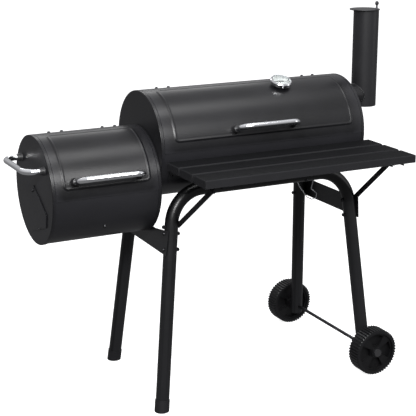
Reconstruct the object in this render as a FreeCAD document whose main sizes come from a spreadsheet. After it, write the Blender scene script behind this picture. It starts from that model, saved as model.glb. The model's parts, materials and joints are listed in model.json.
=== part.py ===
import FreeCAD, Part
import Sketcher
import math
import os

# Offset smoker: a long barrel with a hinged lid, a firebox on its left end, a chimney on its
# right end, a slatted shelf in front, and a tube frame with two feet and two wheels.
# Millimetres. +Z is up, X runs along the barrels (chimney at +X), the shelf is at -Y.
# Work is done with x = 0 where the two barrels meet and moved to the middle of the base at the end.

V = FreeCAD.Vector
X_AXIS = V(1, 0, 0)
Y_AXIS = V(0, 1, 0)
Z_AXIS = V(0, 0, 1)
ORIGIN = V(0, 0, 0)

SIZES = {
    # barrels
    "barrel_radius": 150.0, "sheet": 1.5, "slip": 0.3, "main_length": 652.0,
    "firebox_length": 312.0, "main_height": 718.0, "rim_width": 9.0, "rim_round": 1.6,
    # shares of the barrel radius
    "firebox_drop": 0.64, "passage_size": 0.367, "passage_drop": 0.487,
    # lids, angles counted from the front of the barrel, over the top, to the back
    "lid_gap": 1.0, "lid_back_angle": 111.5, "lap_angle": 6.0, "panel_step": 2.0,
    "panel_low_angle": 10.0, "panel_high_angle": 84.0, "main_panel_margin": 39.0,
    "firebox_panel_margin": 30.0,
    # hinges
    "hinge_angle": 112.0, "hinge_rise": -2.0, "knuckle_radius": 4.0, "pin_radius": 2.0,
    "running_fit": 0.08, "leaf_width": 52.0, "leaf_thickness": 2.0, "leaf_angle": 15.0,
    "hinge_screw_pitch": 37.0, "main_hinge_inset": 88.0, "firebox_hinge_inset": 78.0,
    # fasteners
    "screw_radius": 2.5, "bolt_radius": 3.0, "hole_clearance": 0.2, "head_height": 3.8,
    # handles
    "handle_span": 184.0, "handle_reach": 52.0, "handle_radius": 8.0, "handle_bend": 30.0,
    "handle_angle": 18.0, "spacer_height": 14.0, "spacer_base_radius": 12.0,
    "spacer_top_radius": 9.0, "main_handle_offset": -8.0, "side_handle_rise": 0.487,
    # air damper and its vents
    "damper_thickness": 2.5, "damper_gap": 0.5, "damper_tilt": 18.0, "vent_radius": 13.0,
    "vent_ring": 82.0, "vent_step_angle": 26.0,
    # thermometer
    "gauge_radius": 31.5, "gauge_depth": 14.0, "gauge_neck": 4.0, "gauge_angle": 69.0,
    "gauge_from_right": 232.0, "gauge_wall": 2.0, "stem_radius": 4.0, "stem_length": 58.0,
    # chimney
    "flue_radius": 38.0, "flue_wall": 1.5, "flue_from_end": 95.0, "flue_foot_rise": 48.0,
    "flue_length": 287.0, "elbow_radius": 33.0, "elbow_rise": 82.0,
    "flange_radius": 46.0, "flue_cap_radius": 45.5, "flue_cap_thickness": 3.0,
    "flue_pivot_radius": 31.0, "flue_pivot_angle": -25.0, "flue_cap_offset": 5.0,
    "knob_radius": 5.5, "knob_height": 22.0,
    # legs and wheels
    "tube_radius": 19.0, "tube_wall": 1.5, "arch_gap": 1.0, "arch_below": 41.4,
    "foot_y": 203.0, "arch_bend": 100.0, "arch_joint_offset": -15.0, "left_foot_x": -33.0,
    "left_rear_foot_x": -8.0, "left_leg_x": 43.0, "axle_inset": 8.0, "right_leg_inset": 48.0,
    "swage_length": 40.0, "foot_cap_wall": 1.8, "tongue_width": 44.0, "tongue_angle": 20.0,
    "foot_cap_height": 32.0, "foot_cap_floor": 6.0, "wheel_radius": 70.0,
    "wheel_width": 48.0, "sleeve_length": 3.6, "axle_radius": 5.0, "hub_radius": 16.0,
    "tread_teeth": 48, "tread_depth": 5.0, "wheel_recess": 6.0, "wheel_rim": 12.0,
    "wheel_pocket": 12.0,
    # cross plates
    "plate_height": 70.0, "left_plate_share": 0.775, "right_plate_share": 0.82,
    "plate_thickness": 2.0, "plate_seat": 0.4, "plate_overhang": 19.0, "plate_bolt_pitch": 44.0,
    # shelf
    "slat_width": 68.0, "slat_gap": 12.0, "slat_thickness": 22.0, "slat_round": 3.0,
    "shelf_left": 10.0, "shelf_beyond": 8.0, "shelf_drop": 20.0, "shelf_gap": 11.0,
    "bracket_width": 40.0, "bracket_depth": 9.0, "bracket_metal": 2.0, "left_bracket_x": 47.0,
    "right_bracket_inset": 39.8, "brace_width": 15.0, "brace_thickness": 3.0,
    "brace_shim": 1.6,
    "brace_foot_share": 0.845, "brace_head_inset": 45.0, "right_head_inset": 88.0,
    # grates
    "rod_radius": 2.0, "frame_rod_radius": 3.0, "grate_pitch": 16.0, "grate_end_gap": 12.0,
    "grate_side_gap": 2.0, "main_grate_drop": 16.0, "firebox_grate_drop": 12.0,
    "main_coal_drop": 0.693, "firebox_coal_drop": 0.53, "stud_angle": 38.0, "rail_width": 14.0,
    "rail_thickness": 2.0,
    # drip hook
    "wire_radius": 1.25, "hook_from_right": 110.0, "hook_half_width": 33.0, "hook_drop": 83.0,
    "hook_hole_radius": 3.6,
}

doc = FreeCAD.newDocument("offset_smoker")
sheet = doc.addObject("Spreadsheet::Sheet", "sizes")
for row, (alias, number) in enumerate(SIZES.items(), start=1):
    sheet.set("A%d" % row, alias)
    sheet.set("B%d" % row, str(number))
    sheet.setAlias("B%d" % row, alias)
doc.recompute()

parts = {}


def size(text):
    """Value of one named size, or of an expression in the sheet's own names."""
    return float(sheet.evalExpression(text))


def bind(obj, **expressions):
    """Tie properties of an object to the sheet."""
    for name, text in expressions.items():
        obj.setExpression(name, text)
    return obj


def keep(label, obj):
    """Register a finished sub-part under its node name."""
    obj.Label = label
    parts[label] = obj
    return obj


def frame_at(base, z_dir, x_dir=None):
    """Placement whose local z axis points along z_dir."""
    z_dir = V(z_dir).normalize()
    if x_dir is None:
        return FreeCAD.Placement(base, FreeCAD.Rotation(Z_AXIS, z_dir))
    y_dir = z_dir.cross(x_dir)
    return FreeCAD.Placement(base, FreeCAD.Rotation(V(x_dir), y_dir, z_dir, "ZXY"))


def cylinder(radius, height, base=ORIGIN, axis=Z_AXIS):
    obj = doc.addObject("Part::Cylinder", "cylinder")
    bind(obj, Radius=radius, Height=height)
    obj.Placement = frame_at(base, axis)
    return obj


def cone(radius_low, radius_high, height, base, axis):
    obj = doc.addObject("Part::Cone", "cone")
    bind(obj, Radius1=radius_low, Radius2=radius_high, Height=height)
    obj.Placement = frame_at(base, axis)
    return obj


def prism(radius, height, base, axis):
    """Hexagonal nut blank."""
    obj = doc.addObject("Part::Prism", "prism")
    obj.Polygon = 6
    bind(obj, Circumradius=radius, Height=height)
    obj.Placement = frame_at(base, axis)
    return obj


def box(length, width, height, base):
    obj = doc.addObject("Part::Box", "box")
    bind(obj, Length=length, Width=width, Height=height)
    obj.Placement = FreeCAD.Placement(base, FreeCAD.Rotation())
    return obj


def fuse(*objects):
    obj = doc.addObject("Part::MultiFuse", "fusion")
    obj.Shapes = list(objects)
    obj.Refine = True
    return obj


def group(objects):
    """Separate solids that share one node."""
    obj = doc.addObject("Part::Compound", "group")
    obj.Links = list(objects)
    return obj


def cut(base, *tools):
    obj = doc.addObject("Part::Cut", "cut")
    obj.Base = base
    obj.Tool = tools[0] if len(tools) == 1 else group(tools)
    return obj


def polar(radius, angle, height):
    """Point at a barrel angle, on the cross-section of a barrel whose axis is at height."""
    turn = math.radians(angle)
    return V(0, -radius * math.cos(turn), height + radius * math.sin(turn))


def outward(angle):
    turn = math.radians(angle)
    return V(0, -math.cos(turn), math.sin(turn))


def sector(inner, outer, start, sweep, length, right_x, height):
    """Curved sheet about a barrel axis, from one barrel angle on, ending at right_x."""
    blanks = []
    for radius in (outer, inner):
        blank = doc.addObject("Part::Cylinder", "sector")
        bind(blank, Radius=radius, Height=length, Angle=sweep)
        base = V(right_x, 0, height)
        blank.Placement = frame_at(base, V(-1, 0, 0), outward(start))
        blanks.append(blank)
    return cut(blanks[0], blanks[1])


def hole(point, axis, radius, reach):
    """Drill centred on point."""
    start = V(point) - V(axis).normalize() * reach
    return cylinder(radius, str(2 * reach), start, axis)


def screw(point, axis, grip, radius="sizes.screw_radius", nut=True, tail=2.0):
    """Domed screw with its head seated at point, running along axis through grip."""
    axis = V(axis).normalize()
    head = cone("%s * 1.9" % radius, "%s * 1.2" % radius, "sizes.head_height", point, -axis)
    length = grip
    pieces = [head]
    if nut:
        pieces.append(prism("%s * 1.85" % radius, "%s * 1.6" % radius, V(point) + axis * grip, axis))
        length = grip + 1.6 * size(radius) + tail
    pieces.append(cylinder(radius, str(length), point, axis))
    return fuse(*pieces)


def new_sketch(body, name, role):
    sketch = body.newObject("Sketcher::SketchObject", name)
    plane = next(item for item in body.Origin.OriginFeatures if item.Role == role)
    sketch.AttachmentSupport = [(plane, "")]
    sketch.MapMode = "FlatFace"
    return sketch


def pin_point(sketch, geometry, position, x, y):
    """Hold a sketch point at (x, y), each a number or an expression."""
    for kind, axis_id, value in (("DistanceX", -2, x), ("DistanceY", -1, y)):
        number = size(str(value))
        if abs(number) < 1e-9:
            sketch.addConstraint(Sketcher.Constraint("PointOnObject", geometry, position, axis_id))
            continue
        index = sketch.addConstraint(
            Sketcher.Constraint(kind, -1, 1, geometry, position, number))
        if isinstance(value, str):
            sketch.setExpression("Constraints[%d]" % index, value)


def outline(sketch, points):
    """Closed polygon whose corners are numbers or expressions."""
    numbers = [V(size(str(x)), size(str(y)), 0) for x, y in points]
    first = sketch.GeometryCount
    count = len(points)
    for index in range(count):
        sketch.addGeometry(Part.LineSegment(numbers[index], numbers[(index + 1) % count]), False)
    for index in range(count):
        after = first + (index + 1) % count
        sketch.addConstraint(Sketcher.Constraint("Coincident", first + index, 2, after, 1))
    for index, (x, y) in enumerate(points):
        pin_point(sketch, first + index, 1, x, y)


def circle(sketch, x, y, radius):
    centre = V(size(str(x)), size(str(y)), 0)
    index = sketch.addGeometry(Part.Circle(centre, Z_AXIS, size(radius)), False)
    bound = sketch.addConstraint(Sketcher.Constraint("Radius", index, size(radius)))
    sketch.setExpression("Constraints[%d]" % bound, radius)
    pin_point(sketch, index, 3, x, y)


def bend_corner(before, corner, after, bend):
    """Where an arc of a given radius leaves and joins the two runs that meet at a corner."""
    back = (before - corner).normalize()
    ahead = (after - corner).normalize()
    half = back.getAngle(ahead) / 2
    setback = bend / math.tan(half)
    centre = corner + (back + ahead).normalize() * (bend / math.sin(half))
    return corner + back * setback, corner + ahead * setback, centre


def bent_path(sketch, corners, radius):
    """Open path of straight runs joined by tangent arcs of one radius."""
    bend = size(radius)
    points = [V(x, y, 0) for x, y in corners]
    start = points[0]
    rules = []
    arcs = []
    previous = None
    for before, corner, after in zip(points, points[1:], points[2:]):
        entry, leave, centre = bend_corner(before, corner, after, bend)
        run = sketch.addGeometry(Part.LineSegment(start, entry), False)
        middle = centre + ((entry + leave) * 0.5 - centre).normalize() * bend
        arc = sketch.addGeometry(Part.Arc(entry, middle, leave), False)
        entry_end = 1 if sketch.getPoint(arc, 1).distanceToPoint(entry) < 1e-6 else 2
        if previous:
            rules.append(Sketcher.Constraint("Tangent", previous[0], previous[1], run, 1))
        rules.append(Sketcher.Constraint("Tangent", run, 2, arc, entry_end))
        arcs.append(arc)
        previous = (arc, 3 - entry_end)
        start = leave
    last = sketch.addGeometry(Part.LineSegment(start, points[-1]), False)
    rules.append(Sketcher.Constraint("Tangent", previous[0], previous[1], last, 1))
    for arc in arcs:
        rules.append(Sketcher.Constraint("Radius", arc, bend))
    first_radius = sketch.ConstraintCount + len(rules) - len(arcs)
    sketch.addConstraint(rules)
    for index in range(len(arcs)):
        sketch.setExpression("Constraints[%d]" % (first_radius + index), radius)
    return last


def path_edges(sketch):
    return ["Edge%d" % (index + 1) for index in range(sketch.GeometryCount)]


def pad(body, sketch, length, midplane=False, reverse=False):
    feature = body.newObject("PartDesign::Pad", "pad")
    feature.Profile = sketch
    feature.setExpression("Length", length)
    feature.Midplane = midplane
    feature.Reversed = reverse
    return feature


def revolve(body, sketch, axis="V_Axis"):
    feature = body.newObject("PartDesign::Revolution", "revolution")
    feature.Profile = sketch
    feature.ReferenceAxis = (sketch, [axis])
    feature.Angle = 360.0
    return feature


def round_edges(body, radius, wanted):
    """Fillet the edges of the body's tip that pass a test."""
    doc.recompute()
    tip = body.Tip
    names = ["Edge%d" % (i + 1) for i, edge in enumerate(tip.Shape.Edges) if wanted(edge)]
    feature = body.newObject("PartDesign::Fillet", "fillet")
    feature.Base = (tip, names)
    feature.setExpression("Radius", radius)
    return feature


def turned(label, profile, placement):
    """Body revolved about its local z axis from an (r, z) outline."""
    body = doc.addObject("PartDesign::Body", label)
    sketch = new_sketch(body, label + "_profile", "XZ_Plane")
    outline(sketch, profile)
    revolve(body, sketch)
    body.Placement = placement
    return body


def plate(label, points, holes, thickness, placement):
    """Flat body with round holes, its sheet lying in its local XY plane."""
    body = doc.addObject("PartDesign::Body", label)
    sketch = new_sketch(body, label + "_outline", "XY_Plane")
    outline(sketch, points)
    for x, y, radius in holes:
        circle(sketch, x, y, radius)
    pad(body, sketch, thickness)
    body.Placement = placement
    return body


def tube(label, corners, bend, outer, inner, placement):
    """Round tube or rod swept along a flat path in its local XZ plane."""
    body = doc.addObject("PartDesign::Body", label)
    path = new_sketch(body, label + "_path", "XZ_Plane")
    bent_path(path, corners, bend)
    section = new_sketch(body, label + "_section", "XY_Plane")
    first = V(corners[1][0] - corners[0][0], 0, corners[1][1] - corners[0][1])
    turn = FreeCAD.Rotation(Z_AXIS, first)
    section.AttachmentOffset = FreeCAD.Placement(V(corners[0][0], 0, corners[0][1]), turn)
    circle(section, 0, 0, outer)
    if inner:
        circle(section, 0, 0, inner)
    doc.recompute()
    sweep = body.newObject("PartDesign::AdditivePipe", "sweep")
    sweep.Profile = section
    sweep.Spine = (path, path_edges(path))
    body.Placement = placement
    return body


# ---------------------------------------------------------------- shared places

R = size("sizes.barrel_radius")
SHEET = size("sizes.sheet")
MAIN_Z = size("sizes.main_height")
FIRE_Z = MAIN_Z - size("sizes.barrel_radius * sizes.firebox_drop")
PASSAGE_Z = MAIN_Z - size("sizes.barrel_radius * sizes.passage_drop")
PASSAGE_RADIUS = "(sizes.barrel_radius * sizes.passage_size)"
MAIN_LENGTH = size("sizes.main_length")
FIRE_LENGTH = size("sizes.firebox_length")
SHELL_OUTER = "(sizes.barrel_radius - sizes.sheet - sizes.slip)"
SHELL_INNER = "(sizes.barrel_radius - 2 * sizes.sheet - sizes.slip)"
LID_INNER = "(sizes.barrel_radius - sizes.sheet)"
PANEL_OUTER = "(sizes.barrel_radius + sizes.panel_step)"
PANEL_INNER = "(sizes.barrel_radius + sizes.panel_step - sizes.sheet)"
SCREW_HOLE = "(sizes.screw_radius + sizes.hole_clearance)"
BOLT_HOLE = "(sizes.bolt_radius + sizes.hole_clearance)"
HINGE_R = size("sizes.barrel_radius + sizes.hinge_rise")
BARRELS = {
    "main": {"left": 0.0, "length": MAIN_LENGTH, "z": MAIN_Z, "size": "sizes.main_length"},
    "firebox": {"left": -FIRE_LENGTH, "length": FIRE_LENGTH, "z": FIRE_Z,
                "size": "sizes.firebox_length"},
}
for name, barrel in BARRELS.items():
    inset = size("sizes.%s_hinge_inset" % name)
    barrel["right"] = barrel["left"] + barrel["length"]
    barrel["hinges"] = (barrel["left"] + inset, barrel["right"] - inset)
    barrel["margin"] = "sizes.%s_panel_margin" % name

PITCH = size("sizes.hinge_screw_pitch / 2")
body_screws = []
frame_bolts = []
DRILL = 12.0


def drilled(part, holes, radius):
    """Cut round holes through a part at the places of (point, axis) pairs."""
    if not holes:
        return part
    return cut(part, *[hole(point, axis, radius, DRILL) for point, axis in holes])


# ---------------------------------------------------------------- hinges

def hinge_screw_places(barrel, angle, height):
    for hinge_x in barrel["hinges"]:
        for side in (-PITCH, PITCH):
            point = polar(size(height), angle, barrel["z"])
            yield V(hinge_x + side, point.y, point.z), outward(angle)


def hinge_leaf(barrel, hinge_x, lid_side):
    """Leaf inside the sheet, with its knuckles: one in the middle for the lid, two for the shell."""
    leaf_high = LID_INNER if lid_side else SHELL_INNER
    leaf_low = leaf_high + " - sizes.leaf_thickness"
    angle = size("sizes.hinge_angle")
    sweep = size("sizes.leaf_angle")
    start = angle - sweep - 0.8 if lid_side else angle - 0.4
    half = size("sizes.leaf_width / 2")
    third = size("sizes.leaf_width / 6")
    leaf = sector(leaf_low, leaf_high, start, "sizes.leaf_angle", "sizes.leaf_width",
                  hinge_x + half, barrel["z"])
    centre = polar(HINGE_R, angle, barrel["z"])
    middle = (-third + 0.2, 2 * third - 0.4)
    outer = [(-half, half - third - 0.2), (third + 0.2, half - third - 0.2)]
    own, other = ([middle], outer) if lid_side else (outer, [middle])
    knuckles = []
    for offset, length in own:
        knuckles.append(cylinder("sizes.knuckle_radius", str(length),
                                 V(hinge_x + offset, centre.y, centre.z), X_AXIS))
    room = []
    for offset, length in other:
        room.append(cylinder("sizes.knuckle_radius + 2 * sizes.slip", str(length + 0.4),
                             V(hinge_x + offset - 0.2, centre.y, centre.z), X_AXIS))
    bore = "sizes.pin_radius + sizes.running_fit" if lid_side else "sizes.pin_radius"
    room.append(cylinder(bore, "sizes.leaf_width + 2",
                         V(hinge_x - half - 1, centre.y, centre.z), X_AXIS))
    return cut(fuse(leaf, *knuckles), *room)


def hinge_pin(barrel, hinge_x):
    centre = polar(HINGE_R, size("sizes.hinge_angle"), barrel["z"])
    half = size("sizes.leaf_width / 2")
    shaft = cylinder("sizes.pin_radius", "sizes.leaf_width",
                     V(hinge_x - half, centre.y, centre.z), X_AXIS)
    heads = []
    for start in (hinge_x - half - 1.5, hinge_x + half):
        heads.append(cylinder("sizes.pin_radius * 1.5", "1.5", V(start, centre.y, centre.z), X_AXIS))
    return fuse(shaft, *heads)


def knuckle_rooms(barrel):
    """Notches in the edges of the sheets, which the knuckles stand in."""
    centre = polar(HINGE_R, size("sizes.hinge_angle"), barrel["z"])
    length = size("sizes.leaf_width") + 5
    return [cylinder("sizes.knuckle_radius + 2 * sizes.slip", str(length),
                     V(hinge_x - length / 2, centre.y, centre.z), X_AXIS)
            for hinge_x in barrel["hinges"]]


def make_hinges():
    body_leaves = []
    pins = []
    screw_angle = size("sizes.hinge_angle + sizes.leaf_angle * 0.62")
    for barrel in BARRELS.values():
        places = list(hinge_screw_places(barrel, screw_angle, SHELL_OUTER))
        barrel["shell_holes"] = list(places)
        for hinge_x in barrel["hinges"]:
            near = [p for p in places if abs(p[0].x - hinge_x) < size("sizes.leaf_width / 2")]
            body_leaves.append(drilled(hinge_leaf(barrel, hinge_x, False), near, SCREW_HOLE))
            pins.append(hinge_pin(barrel, hinge_x))
        for point, axis in places:
            body_screws.append(screw(point, -axis, size("sizes.leaf_thickness + sizes.sheet") + 0.2))
    keep("hinge_body_leaves", group(body_leaves))
    keep("hinge_pins", group(pins))


# ---------------------------------------------------------------- handles

def handle(label, middle, surface, out, along):
    """Bent bar on two heat-insulating spacers, with a screw up into each end."""
    span = size("sizes.handle_span")
    low = size("sizes.spacer_height")
    reach = size("sizes.handle_reach")
    corners = [(-span / 2, low), (-span / 2, reach), (span / 2, reach), (span / 2, low)]
    base = V(middle) + V(out) * surface
    place = frame_at(base, out, along)
    bar = tube(label + "_bar", corners, "sizes.handle_bend", "sizes.handle_radius", None, place)
    spacers = []
    screws = []
    sockets = []
    feet = []
    grip = low + SHEET
    for side in (-span / 2, span / 2):
        foot = base + V(along) * side
        feet.append((foot, out))
        blank = cone("sizes.spacer_base_radius", "sizes.spacer_top_radius",
                     "sizes.spacer_height", foot, out)
        spacers.append(drilled(blank, [(foot + V(out) * low / 2, out)], SCREW_HOLE))
        start = foot - V(out) * (SHEET + 0.15)
        screws.append(screw(start, out, grip + 10, nut=False))
        sockets.append(cylinder("sizes.screw_radius", "14", foot + V(out) * (low - 2), out))
    return cut(bar, *sockets), spacers, screws, feet


# ---------------------------------------------------------------- lids

def pressed_lid(barrel):
    """Rolled lid sheet with a raised rectangular panel."""
    ends = "2 * (sizes.rim_width + sizes.lid_gap)"
    right = barrel["right"] - size("sizes.rim_width + sizes.lid_gap")
    z = barrel["z"]
    sheet_part = sector(LID_INNER, "sizes.barrel_radius", 0, "sizes.lid_back_angle",
                        "%s - %s" % (barrel["size"], ends), right, z)
    margin = size(barrel["margin"])
    low = size("sizes.panel_low_angle")
    panel = sector(LID_INNER, PANEL_OUTER, low, "sizes.panel_high_angle - sizes.panel_low_angle",
                   "%s - 2 * %s" % (barrel["size"], barrel["margin"]), barrel["right"] - margin, z)
    wall = math.degrees(SHEET / R)
    pocket = sector("sizes.barrel_radius - 3 * sizes.sheet", PANEL_INNER, low + wall,
                    "sizes.panel_high_angle - sizes.panel_low_angle - %r" % (2 * wall),
                    "%s - 2 * %s - 2 * sizes.sheet" % (barrel["size"], barrel["margin"]),
                    barrel["right"] - margin - SHEET, z)
    return cut(fuse(sheet_part, panel), pocket)


def make_lid(name, handle_x, extra_holes):
    barrel = BARRELS[name]
    label = name + "_lid"
    out = outward(size("sizes.handle_angle"))
    middle = V(handle_x, 0, barrel["z"])
    bar, spacers, screws, feet = handle(label, middle, size(PANEL_OUTER), out, X_AXIS)
    angle = size("sizes.hinge_angle - sizes.leaf_angle * 0.62")
    places = list(hinge_screw_places(barrel, angle, "sizes.barrel_radius"))
    lid = cut(drilled(pressed_lid(barrel), feet + places, SCREW_HOLE), *knuckle_rooms(barrel))
    if extra_holes:
        lid = drilled(lid, extra_holes, "sizes.stem_radius + sizes.hole_clearance")
    leaves = []
    for hinge_x in barrel["hinges"]:
        near = [p for p in places if abs(p[0].x - hinge_x) < size("sizes.leaf_width / 2")]
        leaves.append(drilled(hinge_leaf(barrel, hinge_x, True), near, SCREW_HOLE))
    for point, axis in places:
        screws.append(screw(point, -axis, size("sizes.leaf_thickness + sizes.sheet") + 0.2))
    keep(label, lid)
    keep(label + "_handle", bar)
    keep(label + "_spacers", group(spacers))
    keep(label + "_screws", group(screws))
    keep(label + "_hinge_leaves", group(leaves))


# ---------------------------------------------------------------- thermometer

def make_thermometer():
    out = outward(size("sizes.gauge_angle"))
    surface = polar(size(PANEL_OUTER), size("sizes.gauge_angle"), MAIN_Z)
    base = V(MAIN_LENGTH - size("sizes.gauge_from_right"), surface.y, surface.z)
    place = frame_at(base, out, X_AXIS)
    neck = size("sizes.gauge_neck")
    depth = size("sizes.gauge_depth")
    top = neck + depth
    wall = "sizes.gauge_wall"
    case = turned("thermometer_case", [
        (0, 0), ("sizes.gauge_radius * 0.45", 0), ("sizes.gauge_radius * 0.45", neck),
        ("sizes.gauge_radius - 3", neck), ("sizes.gauge_radius", neck + 3),
        ("sizes.gauge_radius", top - 3), ("sizes.gauge_radius - 2", top),
        ("sizes.gauge_radius - 2.5 * %s" % wall, top),
        ("sizes.gauge_radius - 2.5 * %s" % wall, top - 2), ("sizes.gauge_radius - %s" % wall, top - 2),
        ("sizes.gauge_radius - %s" % wall, neck + 2), (0, neck + 2)], place)
    case_hole = cylinder("sizes.stem_radius", str(neck + 4), base - out, out)
    keep("thermometer_case", cut(case, case_hole))
    disc = "sizes.gauge_radius - %s" % wall
    dial = cylinder(disc, "1", base + out * (neck + 5), out)
    keep("thermometer_dial", cut(dial, cylinder("1", "4", base + out * (neck + 4), out)))
    lens = cylinder(disc, "1.6", base + out * (top - 3.6), out)
    keep("thermometer_lens", lens)
    length = size("sizes.gauge_radius") * 0.6
    needle = plate("thermometer_needle", [
        (-length, -0.6), (-length, 0.6), (length * 0.5, 1.5), (length * 0.5, -1.5)],
        [(0, 0, "sizes.running_fit + 0.8")], "0.8",
        frame_at(base + out * (neck + 7), out, X_AXIS))
    keep("thermometer_needle", needle)
    stem_length = size("sizes.stem_length")
    stem = fuse(cylinder("sizes.stem_radius", str(stem_length + neck + 2), base - out * stem_length, out),
                prism("sizes.stem_radius * 2", "4", base - out * (SHEET + 4.3), out),
                cylinder("0.8", str(neck + 8.2), base, out))
    keep("thermometer_stem", stem)
    return base, out


# ---------------------------------------------------------------- barrels

def end_cap(label, facing, base, holes):
    """Pressed disc with a turned rim that sleeves the shell; facing is the way its rim points."""
    body = turned(label + "_pressing", [
        (0, 0), ("sizes.barrel_radius", 0), ("sizes.barrel_radius", "sizes.rim_width"),
        (SHELL_OUTER, "sizes.rim_width"), (SHELL_OUTER, "sizes.sheet"), (0, "sizes.sheet")],
        frame_at(base, facing))
    def at_rim(edge):
        curve = edge.Curve
        return (curve.TypeId == "Part::GeomCircle" and abs(curve.Radius - R) < 1e-6
                and abs(curve.Center.z) < 1e-6)
    round_edges(body, "min(sizes.rim_round; 0.9 * sizes.sheet + sizes.slip)", at_rim)
    tools = [hole(point, axis, radius, DRILL) for point, axis, radius in holes]
    return keep(label, cut(body, *tools) if tools else body)


def passage_bolt_places():
    ring = size(PASSAGE_RADIUS) + 14
    for turn in (0, 90, 180, 270):
        angle = math.radians(turn + 45)
        yield V(0, ring * math.cos(angle), PASSAGE_Z + ring * math.sin(angle))


def grate_stud_places():
    """Screws half-way along the firebox, whose inner ends keep the charcoal grate from dropping."""
    for angle in (-size("sizes.stud_angle"), 180 + size("sizes.stud_angle")):
        point = polar(size(SHELL_OUTER), angle, FIRE_Z)
        yield V(-FIRE_LENGTH / 2, point.y, point.z), outward(angle)


def shell(name, holes, bolt_holes, hook_holes):
    barrel = BARRELS[name]
    start = size("sizes.lid_back_angle") + 0.5
    sweep = "360 - sizes.lid_back_angle - 0.5 + sizes.lap_angle"
    skin = sector(SHELL_INNER, SHELL_OUTER, start, sweep, barrel["size"] + " - 2 * sizes.sheet",
                  barrel["right"] - SHEET, barrel["z"])
    skin = cut(drilled(skin, holes, SCREW_HOLE), *knuckle_rooms(barrel))
    skin = drilled(skin, bolt_holes, BOLT_HOLE)
    skin = drilled(skin, hook_holes, "sizes.hook_hole_radius")
    return keep(name + "_shell", skin)


def make_caps(side_feet):
    passage = [(V(0, 0, PASSAGE_Z), X_AXIS, PASSAGE_RADIUS)]
    for point in passage_bolt_places():
        passage.append((point, X_AXIS, SCREW_HOLE))
        body_screws.append(screw(V(SHEET, point.y, point.z), -X_AXIS, 2 * SHEET))
    end_cap("main_left_cap", X_AXIS, V(0, 0, MAIN_Z), passage)
    end_cap("firebox_inner_cap", -X_AXIS, V(0, 0, FIRE_Z), passage)
    port = [(V(MAIN_LENGTH, 0, ELBOW_Z), X_AXIS, "sizes.elbow_radius")]
    for point in elbow_screw_places():
        port.append((point, X_AXIS, SCREW_HOLE))
    end_cap("main_right_cap", -X_AXIS, V(MAIN_LENGTH, 0, MAIN_Z), port)
    outer = [(V(-FIRE_LENGTH, 0, FIRE_Z), X_AXIS, BOLT_HOLE)]
    for foot, axis in side_feet:
        outer.append((foot, axis, SCREW_HOLE))
    step = size("sizes.vent_step_angle")
    for turn in (-step, 0, step):
        point = damper_point(size("sizes.vent_ring"), turn)
        outer.append((point, X_AXIS, "sizes.vent_radius"))
    end_cap("firebox_outer_cap", X_AXIS, V(-FIRE_LENGTH, 0, FIRE_Z), outer)


# ---------------------------------------------------------------- damper

def damper_point(radius, turn):
    """Point on the outer face of the firebox end, an angle away from the damper's own middle."""
    angle = math.radians(size("sizes.damper_tilt") + turn)
    return V(-FIRE_LENGTH, -radius * math.sin(angle), FIRE_Z - radius * math.cos(angle))


def make_damper():
    """Fan-shaped plate that turns about a screw in the middle of the firebox end."""
    tilt = math.radians(size("sizes.damper_tilt"))
    down = V(0, -math.sin(tilt), -math.cos(tilt))
    face = V(-FIRE_LENGTH - size("sizes.damper_gap"), 0, FIRE_Z)
    reach = size("sizes.vent_ring + sizes.vent_radius") + 12
    half = 66.0
    place = frame_at(face, -X_AXIS, down)
    fan = plate("air_damper_plate", [
        (-13, -7), (-13, 7), (-3, 14), (reach * 0.235, 43), (reach * 0.7, 82), (reach, half),
        (reach, -half), (reach * 0.7, -82), (reach * 0.235, -43), (-3, -14)],
        [(0, 0, "sizes.bolt_radius + sizes.running_fit")],
        "sizes.damper_thickness", place)
    tab = box("sizes.damper_thickness", "30", "9", ORIGIN)
    thickness = size("sizes.damper_thickness")
    tab.Placement = place.multiply(FreeCAD.Placement(V(reach - thickness, -15, 0), FreeCAD.Rotation()))
    keep("air_damper", fuse(fan, tab))
    grip = size("sizes.damper_gap + sizes.damper_thickness") + SHEET
    start = face - X_AXIS * (size("sizes.damper_thickness") + 0.2)
    pivot = screw(start, X_AXIS, grip + 0.2, "sizes.bolt_radius")
    body_screws.append(pivot)


# ---------------------------------------------------------------- chimney

FLUE_X = MAIN_LENGTH + size("sizes.flue_from_end")
FLUE_FOOT = MAIN_Z + size("sizes.flue_foot_rise")
FLUE_TOP = FLUE_FOOT + size("sizes.flue_length")
ELBOW_Z = MAIN_Z + size("sizes.elbow_rise")


def elbow_screw_places():
    ring = size("(sizes.flange_radius + sizes.elbow_radius) / 2") + 0.5
    for turn in range(4):
        angle = math.radians(45 + 90 * turn)
        yield V(MAIN_LENGTH, ring * math.cos(angle), ELBOW_Z + ring * math.sin(angle))


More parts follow.
